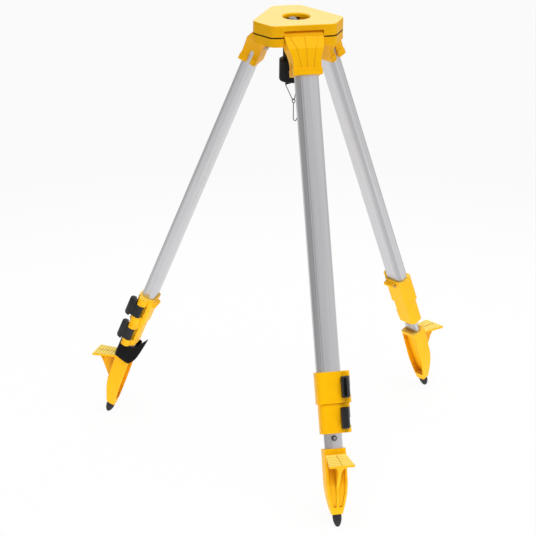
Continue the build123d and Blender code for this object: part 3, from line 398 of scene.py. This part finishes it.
def metal(name, body, roughness, edge, cloudiness=0.3):
    """Turned or plated metal: blotchy plating, fine scratches, painted highlights on the edges, painted shade in its
    crevices.
    """
    finish = Finish(name, {"Metallic": 1.0})
    rounded, edges = finish.soft_edges(edge)
    blotches = finish.noise(160.0, 3.0).between(0.3, 0.7)
    scratches = finish.noise(1.0, 3.0, finish.stretched((300, 300, 2600)))
    # Painted shade in crevices, found by ambient occlusion
    crevice_shade_mask = finish.crevices(1.5 * MM)
    dull = tuple(c * 0.72 for c in body)
    # Paler tone for the painted highlights on the edges
    bright = tuple(min(1.0, c * 1.35 + 0.03) for c in body)
    crevice_shade_colour = tuple(c * 0.12 for c in body)
    tone = finish.mix(edges * 0.6, finish.mix(blotches * cloudiness, body, dull), bright)
    finish.surface(
        {
            "Base Color": finish.mix(crevice_shade_mask * 0.7, tone, crevice_shade_colour),
            "Roughness": roughness + (scratches - 0.5) * 0.16 + blotches * 0.06,
        }
    )
    finish.relief(scratches, 0.06, 0.1 * MM, rounded)
    return finish.material


def nutted_bolt(name, matrix, height, washer, nut, shank):
    """Stop bolt: a plated washer, a dark nut and the bare end of the shank, round the bolt's own axis; painted
    highlights on the nut's edges and painted shade in its crevices.
    """
    finish = Finish(name, {"Metallic": 1.0})
    rounded, edges = finish.soft_edges(0.4 * MM)
    outward, across, up = finish.split(finish.along(matrix))
    span = across * across + (up - height) * (up - height)
    nut_side = outward.between(0, MM)
    nutted = (1 - span.between(NUT_RADIUS**2, (NUT_RADIUS + 0.2 * MM) ** 2)) * nut_side
    bare = (1 - span.between(SHANK_RADIUS**2, (SHANK_RADIUS + 0.1 * MM) ** 2)) * nut_side
    blotches = finish.noise(160.0, 3.0).between(0.3, 0.7)
    tone = finish.mix(bare, finish.mix(nutted, washer, nut), shank)
    # Painted highlights on the nut's edges, in the shank's colour
    tone = finish.mix(edges * nutted * 0.4, tone, shank)
    # Painted shade in crevices, found by ambient occlusion
    crevice_shade_mask = finish.crevices(1.5 * MM)
    crevice_shade_colour = tuple(c * 0.3 for c in nut)
    finish.surface(
        {
            "Base Color": finish.mix(crevice_shade_mask * 0.7, tone, crevice_shade_colour),
            "Roughness": 0.3 + blotches * 0.08 + crevice_shade_mask * 0.1,
        }
    )
    finish.relief(blotches, 0.05, 0.1 * MM, rounded)
    return finish.material


def rubber(name, body):
    """Moulded rubber: matt and grainy, with dusty patches and paler edges."""
    finish = Finish(name, {"Specular IOR Level": 0.3})
    rounded, edges = finish.soft_edges(0.8 * MM)
    grain = finish.noise(900.0, 3.0)
    dust = finish.noise(70.0, 4.0, roughness=0.6).between(0.45, 0.75)
    pale = tuple(c * 2.4 + 0.01 for c in body)
    finish.surface(
        {
            "Base Color": finish.mix(dust * 0.35 + edges * 0.25, body, pale),
            "Roughness": 0.58 + (grain - 0.5) * 0.2 + dust * 0.12,
        }
    )
    finish.relief(grain, 0.22, 0.3 * MM, rounded)
    return finish.material


def webbing(name, body):
    """Woven strap: pairs of warp ribs along it, weft across, on the strap's own UV map in metres."""
    finish = Finish(name, {"Specular IOR Level": 0.15, "Sheen Weight": 0.08, "Sheen Roughness": 0.4})
    finish.place = finish.node("ShaderNodeUVMap", {"uv_map": "UVMap"})
    across, along, _ = finish.split(finish.place)
    rib, pick = 1.6 * MM, 1.1 * MM
    ribs = (across * (2 * math.pi / rib)).wave() * 0.5 + 0.5
    picks = (along * (2 * math.pi / pick) + (across * (math.pi / rib)).wave() * 1.6).wave() * 0.5 + 0.5
    weave = ribs * 0.65 + ribs * picks * 0.35
    fuzz = finish.noise(2600.0, 3.0)
    wear = finish.noise(60.0, 3.0).between(0.4, 0.75)
    pale = tuple(c * 2.6 + 0.006 for c in body)
    finish.surface(
        {
            "Base Color": finish.mix(weave * 0.35 + wear * 0.15 + (fuzz - 0.5) * 0.2, body, pale),
            "Roughness": 0.74 + (fuzz - 0.5) * 0.2 - weave * 0.08,
        }
    )
    finish.relief(weave + fuzz * 0.25, 0.6, 0.4 * MM)
    return finish.material


def leg_frame(leg):
    """Place of a leg: X outward from the tube's axis, Y counter-clockwise, Z up it from level with the hinge pin."""
    fold = JOINTS[f"{leg}_fold"]
    up = -Vector(JOINTS[f"{leg}_middle_slide"]["axis"]).normalized()
    across = Vector(fold["axis"]).normalized()
    outward = across.cross(up)
    turn = Matrix((outward, across, up)).transposed()
    return Matrix.Translation(Vector(fold["pos_m"]) + outward * TUBE_AXIS_OFFSET) @ turn.to_4x4()


def places_on(matrix, mesh):
    """Points of a mesh, in the place of a leg."""
    inverse = matrix.inverted()
    return [inverse @ vertex.co for vertex in mesh.vertices]


def deselect():
    """Leave edit mode with nothing selected, ready for the next piece."""
    if bpy.context.object and bpy.context.object.mode != "OBJECT":
        bpy.ops.object.mode_set(mode="OBJECT")
    bpy.ops.object.select_all(action="DESELECT")


def new_piece(name, mesh=None):
    """Name the active object, or make one from a mesh, as a piece on its own."""
    if mesh:
        deselect()
        piece = bpy.data.objects.new(name, mesh)
        bpy.context.collection.objects.link(piece)
        bpy.context.view_layer.objects.active = piece
        piece.select_set(True)
    piece = bpy.context.object
    piece.name = name
    piece.data.name = name
    return piece


def turned(name, centre, profile, sides=64):
    """A turned piece from its radii and heights, bottom first: a disc, extruded and scaled step by step."""
    deselect()
    radius, height = profile[0]
    bpy.ops.mesh.primitive_circle_add(
        vertices=sides, radius=radius, fill_type="NGON", location=(centre.x, centre.y, height)
    )
    piece = new_piece(name)
    bpy.ops.object.mode_set(mode="EDIT")
    for next_radius, next_height in profile[1:]:
        bpy.ops.mesh.extrude_region_move(TRANSFORM_OT_translate={"value": (0, 0, next_height - height)})
        share = next_radius / radius
        bpy.ops.transform.resize(value=(share, share, 1), center_override=(centre.x, centre.y, next_height))
        radius, height = next_radius, next_height
    tidy_normals()
    settle()
    return piece


def tidy_normals():
    """Merge doubles and turn every face of the piece in edit mode outwards."""
    bpy.ops.mesh.select_all(action="SELECT")
    bpy.ops.mesh.remove_doubles(threshold=1e-6)
    bpy.ops.mesh.normals_make_consistent(inside=False)
    bpy.ops.object.mode_set(mode="OBJECT")


def settle():
    """Put the active piece's object at the origin, with its place in its mesh."""
    bpy.ops.object.transform_apply(location=True, rotation=True, scale=True)


def joined(pieces):
    """The pieces as one, under the first one's name."""
    deselect()
    for piece in pieces:
        piece.select_set(True)
    bpy.context.view_layer.objects.active = pieces[0]
    bpy.ops.object.join()
    return pieces[0]


def modify(piece, kind, **settings):
    """Add a modifier to the piece and apply it."""
    modifier = piece.modifiers.new(kind.title(), kind)
    for key, value in settings.items():
        setattr(modifier, key, value)
    bpy.context.view_layer.objects.active = piece
    bpy.ops.object.modifier_apply(modifier=modifier.name)


def finished(piece, material, body, replaced=()):
    """Give a placed piece its finish and the body that carries it."""
    piece.data.materials.clear()
    piece.data.materials.append(material)
    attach(piece, body)
    if replaced:
        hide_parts(*replaced)
    return piece


class TRIPOD_OT_finishes(bpy.types.Operator):
    """Give every part of the frame its finish"""

    bl_idname = "tripod.finishes"
    bl_label = "Finishes"

    def execute(self, context):
        tones = context.scene.tripod_colours
        edge = context.scene.tripod_sizes.edge_round
        yellow = (tones.yellow, tones.yellow_deep, tones.yellow_worn_highlit, tones.yellow_top_sheen, tones.yellow_crevice_shade)
        pale = (tones.yellow, tones.yellow_deep, tones.yellow_worn_highlit, tones.yellow_seat_sheen, tones.yellow_crevice_shade)
        black = (tones.black, tones.black_worn_highlit, tones.black_worn_highlit, tones.black, tones.black_crevice_shade)
        finishes = {
            "yellow_plastic": moulding("Yellow moulding", yellow, 0.42, edge),
            "black_plastic": moulding("Black moulding", black, 0.44, edge, gloss=0.1),
            "zinc_steel": metal("Zinc plate", tones.zinc, 0.34, 0.4 * MM),
            "dark_steel": metal("Blackened steel", tones.dark_steel, 0.42, 0.4 * MM),
            "steel_wire": metal("Spring wire", tones.wire, 0.24, 0.2 * MM, 0.15),
            "pad_nylon": moulding("Nylon", [tones.nylon] * 5, 0.5, 0.3 * MM),
            "black_rubber": rubber("Rubber", tones.rubber),
            "black_webbing": webbing("Webbing", tones.webbing),
        }
        # The head: painted shade along the parting groove under its plate, and its top mixed to the paler seat colour
        # as a painted sheen
        groove_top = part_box("hinge_frame")[1].z
        shaded_band = (groove_top - HEAD_GROOVE, groove_top)
        head = moulding("Yellow head", pale, 0.42, edge, sheen_share=0.8, shaded_band=shaded_band)
        # The feet: a painted sheen on their pedal tops and painted shade in their hollows
        foot = moulding("Yellow foot", yellow, 0.42, edge, sheen_share=0.9, hollow_shade=tones.yellow_hollow)
        lever = moulding("Black lever", black, 0.38, edge, gloss=0.4)
        stud = metal("Screw steel", tones.stud, 0.34, 0.4 * MM)
        own = {"head_plate": head, "hinge_frame": head, "centre_screw": stud}
        for leg in LEGS:
            own |= {f"{leg}_foot": foot, f"{leg}_stop_bolt": self.bolt(leg, tones)}
            own |= {f"{leg}_upper_lever": lever, f"{leg}_lower_lever": lever}
        for name, node in frame["nodes"].items():
            node.data.materials.clear()
            node.data.materials.append(own.get(name) or finishes.get(NODE_SLOTS[name]) or self.tube(name, tones))
        return {"FINISHED"}

    def bolt(self, leg, tones):
        """Finish of a leg's stop bolt, round the bolt's middle."""
        matrix = leg_frame(leg)
        heights = [place.z for place in places_on(matrix, frame["nodes"][f"{leg}_stop_bolt"].data)]
        middle = (min(heights) + max(heights)) / 2
        return nutted_bolt(f"Stop bolt {leg}", matrix, middle, tones.zinc, tones.dark_steel, tones.bolt)

    def tube(self, name, tones):
        """Finish of a tube, along its leg and as wide as the tube."""
        matrix = leg_frame(next(leg for leg in LEGS if name.startswith(leg)))
        half_width = max(abs(place.y) for place in places_on(matrix, frame["nodes"][name].data))
        shades = (tones.aluminium, tones.aluminium_dark, tones.aluminium_cove)
        return drawn_tube(f"Anodised {name}", matrix, half_width, *shades)


class TRIPOD_OT_screw(bpy.types.Operator):
    """Turn the centre screw, with its thread, its ring groove and its shank"""

    bl_idname = "tripod.screw"
    bl_label = "Centre Screw"

    def execute(self, context):
        sizes = context.scene.tripod_sizes
        low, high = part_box("centre_screw")
        ring_low, ring_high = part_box("lift_ring")
        centre = (low + high) / 2
        crest = (high.x - low.x) / 2
        root = crest - sizes.thread_depth
        lead = 0.7 * MM
        screw = turned(
            "centre_screw_threaded",
            centre,
            (
                (crest, low.z),
                (crest, ring_low.z),
                (root, ring_low.z),
                (root, high.z - lead),
                (root - lead, high.z),
            ),
        )
        thread = self.thread(centre, root, crest, ring_high.z + lead, high.z - lead, sizes.thread_pitch)
        screw = joined([screw, thread])
        bpy.ops.object.shade_smooth_by_angle(angle=SMOOTH_ANGLE)
        material = frame["nodes"]["centre_screw"].data.materials[0]
        finished(screw, material, "centre_screw", ["centre_screw"])
        return {"FINISHED"}

    def thread(self, centre, root, crest, bottom, top, pitch):
        """A ridge of the thread's section, radii and shares of the pitch, wound up the screw and closed at its ends."""
        turns = int((top - bottom) / pitch) - 1
        bury = 0.1 * MM
        section = ((root - bury, 0.0), (crest, 0.38), (crest, 0.5), (root - bury, 0.88))
        mesh = bpy.data.meshes.new("thread")
        points = [(out, 0, rise * pitch) for out, rise in section]
        mesh.from_pydata(points, [(0, 1), (1, 2), (2, 3), (3, 0)], [])
        thread = new_piece("thread", mesh)
        thread.location = (centre.x, centre.y, bottom)
        modify(thread, "SCREW", screw_offset=pitch, iterations=turns, steps=48, render_steps=48)
        bpy.ops.object.mode_set(mode="EDIT")
        bpy.ops.mesh.select_all(action="SELECT")
        bpy.ops.mesh.fill_holes(sides=len(section))
        tidy_normals()
        settle()
        return thread


class TRIPOD_OT_levers(bpy.types.Operator):
    """Round the corners of the six lever flaps"""

    bl_idname = "tripod.levers"
    bl_label = "Cam Levers"

    def execute(self, context):
        corner = context.scene.tripod_sizes.lever_corner
        for leg in LEGS:
            matrix = leg_frame(leg)
            for stage in ("upper", "lower"):
                name = f"{leg}_{stage}_lever"
                lever = new_piece(f"{name}_rounded", frame["nodes"][name].data.copy())
                self.round_flap(lever.data, matrix, corner)
                finished(lever, lever.data.materials[0], name, (name,))
        return {"FINISHED"}

    def round_flap(self, mesh, matrix, corner):
        """Clean the mesh, bevel the flap's corners and keep what the bevel makes behind the flap's front."""
        front = max(place.x for place in places_on(matrix, mesh))
        bpy.ops.object.mode_set(mode="EDIT")
        bpy.ops.mesh.select_all(action="SELECT")
        bpy.ops.mesh.customdata_custom_splitnormals_clear()
        bpy.ops.mesh.remove_doubles(threshold=SAME_POINT)
        bpy.ops.mesh.dissolve_limited(angle_limit=math.radians(0.5))
        self.select_corners(mesh, matrix)
        bpy.ops.mesh.remove_doubles(threshold=SAME_CORNER)
        self.select_corners(mesh, matrix)
        bpy.ops.mesh.bevel(offset=corner, segments=4)
        bpy.ops.mesh.select_all(action="SELECT")
        bpy.ops.mesh.quads_convert_to_tris()
        bpy.ops.object.mode_set(mode="OBJECT")
        for vertex, place in zip(mesh.vertices, places_on(matrix, mesh)):
            vertex.co = matrix @ Vector((min(place.x, front), place.y, place.z))
        bpy.ops.object.shade_smooth_by_angle(angle=SMOOTH_ANGLE)

    def select_corners(self, mesh, matrix):
        """Select the edges that run from front to back at the four corners of the flap."""
        bpy.ops.mesh.select_all(action="DESELECT")
        bpy.ops.mesh.select_mode(type="EDGE")
        bpy.ops.object.mode_set(mode="OBJECT")
        places = places_on(matrix, mesh)
        front = max(place.x for place in places)
        rim = [place for place in places if place.x > front - NEAR_PLANE]
        low_y, high_y = min(place.y for place in rim), max(place.y for place in rim)
        low_z, high_z = min(place.z for place in rim), max(place.z for place in rim)

        def at_corner(place):
            inside_y = low_y + NEAR_PLANE < place.y < high_y - NEAR_PLANE
            inside_z = low_z + NEAR_PLANE < place.z < high_z - NEAR_PLANE
            return not inside_y and not inside_z and place.x > front - FLAP_DEPTH

        for edge in mesh.edges:
            start, end = (places[index] for index in edge.vertices)
            edge.select = at_corner(start) and at_corner(end) and abs(start.x - end.x) > 2 * NEAR_PLANE
        bpy.ops.object.mode_set(mode="EDIT")


class TRIPOD_OT_strap(bpy.types.Operator):
    """Wrap the webbing strap round the left leg, with its free end standing off"""

    bl_idname = "tripod.strap"
    bl_label = "Leg Strap"

    def execute(self, context):
        thickness = context.scene.tripod_sizes.strap_thickness
        strap, flat = self.cloth()
        modify(strap, "SOLIDIFY", thickness=thickness, offset=0)
        modify(strap, "BEVEL", width=0.5 * MM, segments=2, limit_method="ANGLE", angle_limit=math.radians(60))
        strap.data.shade_smooth()
        material = frame["nodes"]["leg_strap"].data.materials[0]
        finished(strap, material, "left_leg_lower", ["leg_strap"])
        tone = context.scene.tripod_colours.thread
        thread = moulding("Strap thread", [tone] * 5, 0.5, 0.1 * MM)
        stitches = finished(self.stitches(strap), thread, "left_leg_lower")
        return {"FINISHED"}

    def cloth(self):
        """The strap's middle surface, from its route, with a UV map in metres: across, then along."""
        matrix = leg_frame("left_leg")
        points, marks = [], []
        run = 0.0
        for station, (out, side, top, bottom) in enumerate(STRAP_ROUTE):
            if station:
                run += math.dist((out, side), STRAP_ROUTE[station - 1][:2]) * MM
            for row in range(STRAP_ROWS):
                depth = top + (bottom - top) * row / (STRAP_ROWS - 1)
                points.append(matrix @ (Vector((out, side, -depth)) * MM))
                marks.append((depth * MM, run))
        corners = [
            (first + row, first + row + 1, first + STRAP_ROWS + row + 1, first + STRAP_ROWS + row)
            for first in range(0, len(points) - STRAP_ROWS, STRAP_ROWS)
            for row in range(STRAP_ROWS - 1)
        ]
        mesh = bpy.data.meshes.new("leg_strap_webbing")
        mesh.from_pydata(points, [], corners)
        sheet = mesh.uv_layers.new(name="UVMap")
        for loop in mesh.loops:
            sheet.data[loop.index].uv = marks[loop.vertex_index]
        strap = new_piece("leg_strap_webbing", mesh)
        bpy.ops.object.mode_set(mode="EDIT")
        tidy_normals()
        modify(strap, "SUBSURF", levels=3, render_levels=3)
        width = max(bottom - top for _, _, top, bottom in STRAP_ROUTE) * MM
        return strap, (width, run)

    def stitches(self, strap):
        """Rows of stitches across the strap, where its free end is sewn down."""
        matrix = leg_frame("left_leg")
        down = -matrix.to_3x3().col[2]
        top, bottom = STITCH_DEPTHS
        stitch_length = STITCH_SIZE[0]
        stitches = []
        for out in STITCH_ROWS:
            depth = top
            while depth < bottom:
                place = matrix @ (Vector((out, STITCH_SIDE, -depth - stitch_length / 2)) * MM)
                _, seat, normal, _ = strap.closest_point_on_mesh(place)
                deselect()
                bpy.ops.mesh.primitive_uv_sphere_add(segments=8, ring_count=6, radius=0.5 * MM)
                stitch = new_piece("stitch")
                stitch.scale = STITCH_SIZE
                turn = Matrix((down, normal.cross(down), normal)).transposed()
                stitch.rotation_euler = turn.to_euler()
                stitch.location = seat
                settle()
                stitches.append(stitch)
                depth += stitch_length + STITCH_GAP
        sewn = joined(stitches)
        sewn.name = "leg_strap_stitches"
        sewn.data.shade_smooth()
        return sewn


class TRIPOD_OT_stage(bpy.types.Operator):
    """Add the floor, the soft light and the camera"""

    bl_idname = "tripod.stage"
    bl_label = "Stage"

    def execute(self, context):
        self.floor()
        self.world(context)
        self.lights()
        self.camera(context)
        context.scene.view_settings.view_transform = "Standard"
        return {"FINISHED"}

    def floor(self):
        """A pale floor that keeps shadows, white to the camera and dimmer far away in reflections."""
        deselect()
        bpy.ops.mesh.primitive_plane_add(size=60, location=(0, 0, CAD_BOX[0].z))
        floor = new_piece("Floor")
        settle()
        finish = Finish("Pale floor", {"Roughness": 0.9})
        across, away, _ = finish.split(finish.place)
        span = across * across + away * away  # square of the distance from the middle
        far = span.between(0.2, 3.0)
        finish.surface({"Base Color": finish.mix(far, (0.9, 0.9, 0.9), (0.2, 0.2, 0.2))})
        lit = finish.node("ShaderNodeEmission", inputs={"Color": (1, 1, 1, 1), "Strength": 1.0})
        dim = finish.node("ShaderNodeEmission", inputs={"Color": (1, 1, 1, 1), "Strength": 0.7})
        mirrored = finish.ray("Glossy")
        glow = finish.blend(mirrored * span.between(1.0, 6.0), lit, dim)
        white = finish.ray("Camera") * 0.94 + mirrored + finish.ray("Transmission")
        both = finish.blend(white, Value(finish, finish.shader.outputs[0]), glow)
        finish.feed(finish.tree.nodes["Material Output"].inputs["Surface"], both)
        floor.data.materials.append(finish.material)

    def world(self, context):
        """Soft light all round, white to the camera, with metal seeing it brighter above and on the right."""
        world = bpy.data.worlds.new("Studio")
        context.scene.world = world
        world.use_nodes = True
        nodes = Nodes(world.node_tree)
        right, _, height = nodes.split(nodes.node("ShaderNodeTexCoord", output="Generated"))
        soft = nodes.node("ShaderNodeBackground", inputs={"Color": (1, 1, 1, 1), "Strength": 0.16})
        bright = 0.42 + height.between(0.1, 0.8) * 0.28 + right.between(-0.15, 0.5) * 0.34
        mirrored = nodes.node("ShaderNodeBackground", inputs={"Color": (1, 1, 1, 1), "Strength": bright})
        shown = nodes.node("ShaderNodeBackground", inputs={"Color": (1, 1, 1, 1), "Strength": 1.0})
        seen = nodes.ray("Camera") + nodes.ray("Transmission")
        both = nodes.blend(seen, nodes.blend(nodes.ray("Glossy"), soft, mirrored), shown)
        nodes.feed(world.node_tree.nodes["World Output"].inputs["Surface"], both)

    def lights(self):
        """Five soft boxes, each with its place, its aim, its width and height in metres and its watts."""
        head, middle, above = Vector((0, 0, 0)), Vector((0, 0, -0.3)), Vector((0, -0.1, 9))
        table = (0.0, -0.1, CAD_BOX[0].z + 3 * MM)
        lamps = {
            "Overhead": ((0.4, -3.0, 8.4), middle, 9.0, 9.0, 960.0),
            "Front": ((-1.3, -2.8, 0.8), middle, 2.0, 1.6, 4.0),
            "Back": ((0.9, 3.6, 1.5), head, 5.0, 2.6, 49.0),
            "Side": ((2.8, -1.0, 0.4), middle, 1.8, 1.8, 8.0),
            "Light table": (table, above, 2.4, 2.4, 16.0),
        }
        for name, (place, aim, width, height, watts) in lamps.items():
            deselect()
            bpy.ops.object.light_add(type="AREA", location=place)
            lamp = bpy.context.object
            lamp.name = name
            lamp.data.shape = "RECTANGLE"
            lamp.data.size = width
            lamp.data.size_y = height
            lamp.data.energy = watts
            lamp.visible_camera = False
            lamp.visible_glossy = False
            lamp.rotation_euler = (aim - Vector(place)).to_track_quat("-Z", "Y").to_euler()

    def camera(self, context):
        """A long lens from the front, a little to the left and above, rolled slightly."""
        deselect()
        forward, roll = Vector((0.20401, 0.91084, -0.35882)), 0.0101
        bpy.ops.object.camera_add(location=(-0.8368, -3.5348, 0.9315))
        camera = bpy.context.object
        level = forward.to_track_quat("-Z", "Y").to_matrix()
        camera.rotation_euler = (level @ Matrix.Rotation(roll, 3, "Z")).to_euler()
        camera.data.sensor_width = 36
        camera.data.lens = 145.39
        camera.data.clip_end = 100
        context.scene.camera = camera


class TRIPOD_PT_panel(bpy.types.Panel):
    """Colours and sizes of the tripod, and its operators in order"""

    bl_idname = "TRIPOD_PT_panel"
    bl_label = "Surveying Tripod"
    bl_space_type = "VIEW_3D"
    bl_region_type = "UI"
    bl_category = "Tripod"

    def draw(self, context):
        layout = self.layout
        for group in (context.scene.tripod_colours, context.scene.tripod_sizes):
            for key in group.__annotations__:
                layout.prop(group, key)
        for operator in OPERATORS:
            layout.operator(operator.bl_idname)


OPERATORS = (TRIPOD_OT_finishes, TRIPOD_OT_screw, TRIPOD_OT_levers, TRIPOD_OT_strap, TRIPOD_OT_stage)
CLASSES = (TripodColours, TripodSizes, *OPERATORS, TRIPOD_PT_panel)


def register():
    for item in CLASSES:
        bpy.utils.register_class(item)
    bpy.types.Scene.tripod_colours = bpy.props.PointerProperty(type=TripodColours)
    bpy.types.Scene.tripod_sizes = bpy.props.PointerProperty(type=TripodSizes)


def unregister():
    del bpy.types.Scene.tripod_sizes
    del bpy.types.Scene.tripod_colours
    for item in reversed(CLASSES):
        bpy.utils.unregister_class(item)


def main():
    """Make every piece in order."""
    register()
    for operator in OPERATORS:
        family, name = operator.bl_idname.split(".")
        getattr(getattr(bpy.ops, family), name)()


if __name__ == "__main__":
    main()
